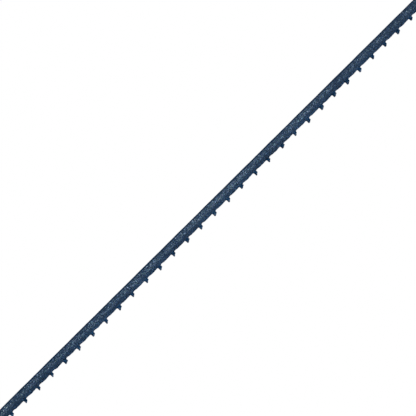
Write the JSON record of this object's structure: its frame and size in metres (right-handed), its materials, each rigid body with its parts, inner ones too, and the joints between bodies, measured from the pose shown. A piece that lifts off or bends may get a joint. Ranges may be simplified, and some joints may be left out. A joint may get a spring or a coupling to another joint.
{
  "type": "jeweler saw",
  "caption": "Hand saw for fine metal work: an adjustable bow frame with a screw-tensioned clamp, a turned wooden handle, and a fine skip-tooth blade strung between the jaws.",
  "frame": {"origin": "centre of the flat on the butt of the handle, on the axis of the tang", "axes": "+Z along the blade from the handle to the front arm; +X the way the teeth point, away from the spine; the blade lies in the plane Y = 0 and the clamp thumb screws face -Y"},
  "size_m": [0.1302, 0.0304, 0.289],
  "materials": {
    "blade_steel": "hardened and blued spring steel, dark slate blue, satin, with fine grinding grain across the strip and paler specks",
    "frame_steel": "nickel-plated steel, satin",
    "screw_steel": "forged thumb screws, nickel plated over a slightly uneven surface",
    "jaw_steel": "ground steel",
    "bright_steel": "drawn steel, bright",
    "brass": "turned brass, satin, slightly dulled",
    "handle_wood": "turned beech, clear lacquer, grain along the handle"
  },
  "bodies": {
    "handle_arm": {"handle": "handle_wood", "ferrule": "brass", "tang": "bright_steel", "tang_pin": "bright_steel", "lower_arm": "frame_steel", "lower_jaw_dowel": "bright_steel", "saw_blade": "blade_steel"},
    "bow": {"bow": "frame_steel", "spine_stop_pin": "bright_steel", "tension_washer": "bright_steel"},
    "upper_clamp": {"upper_clamp_stud": "frame_steel", "upper_jaw_dowel": "bright_steel"},
    "tension_nut": {"tension_nut": "brass"},
    "upper_plate": {"upper_clamp_plate": "jaw_steel", "upper_clamp_washer": "brass"},
    "upper_screw": {"upper_clamp_screw": "screw_steel"},
    "lower_plate": {"lower_clamp_plate": "jaw_steel", "lower_clamp_washer": "brass"},
    "lower_screw": {"lower_clamp_screw": "screw_steel"},
    "lock_shoe": {"slide_shoe": "brass"},
    "lock_screw": {"slide_lock_screw": "screw_steel"}
  },
  "joints": [
    {"name": "bow_slide", "type": "slide", "parent": "handle_arm", "child": "bow", "axis": [0, 0, 1], "range_m": [-0.1, 0.006]},
    {"name": "upper_clamp_slide", "type": "slide", "parent": "bow", "child": "upper_clamp", "axis": [0, 0, 1], "range_m": [-0.004, 0.002]},
    {"name": "tension_nut_turn", "type": "hinge", "parent": "bow", "child": "tension_nut", "pos_m": [-0.0065, 0, 0.2745], "axis": [0, 0, 1], "range_deg": [-900.1, 1800.1]},
    {"name": "upper_plate_slide", "type": "slide", "parent": "upper_clamp", "child": "upper_plate", "axis": [0, -1, 0], "range_m": [0, 0.0014]},
    {"name": "upper_screw_turn", "type": "hinge", "parent": "upper_plate", "child": "upper_screw", "pos_m": [-0.0065, 0, 0.2504], "axis": [0, -1, 0], "range_deg": [0, 720.1]},
    {"name": "lower_plate_slide", "type": "slide", "parent": "handle_arm", "child": "lower_plate", "axis": [0, -1, 0], "range_m": [0, 0.0014]},
    {"name": "lower_screw_turn", "type": "hinge", "parent": "lower_plate", "child": "lower_screw", "pos_m": [-0.0065, 0, 0.1316], "axis": [0, -1, 0], "range_deg": [0, 720.1]},
    {"name": "lock_shoe_slide", "type": "slide", "parent": "handle_arm", "child": "lock_shoe", "axis": [-1, 0, 0], "range_m": [0, 0.0012]},
    {"name": "lock_screw_turn", "type": "hinge", "parent": "lock_shoe", "child": "lock_screw", "pos_m": [-0.0915, 0, 0.1199], "axis": [-1, 0, 0], "range_deg": [0, 540.1]}
  ],
  "couplings": [
    {"joint": "tension_nut_turn", "follows": "upper_clamp_slide", "rad_per_m": -7854},
    {"joint": "upper_screw_turn", "follows": "upper_plate_slide", "rad_per_m": 8976},
    {"joint": "lower_screw_turn", "follows": "lower_plate_slide", "rad_per_m": 8976},
    {"joint": "lock_screw_turn", "follows": "lock_shoe_slide", "rad_per_m": 7854}
  ]
}
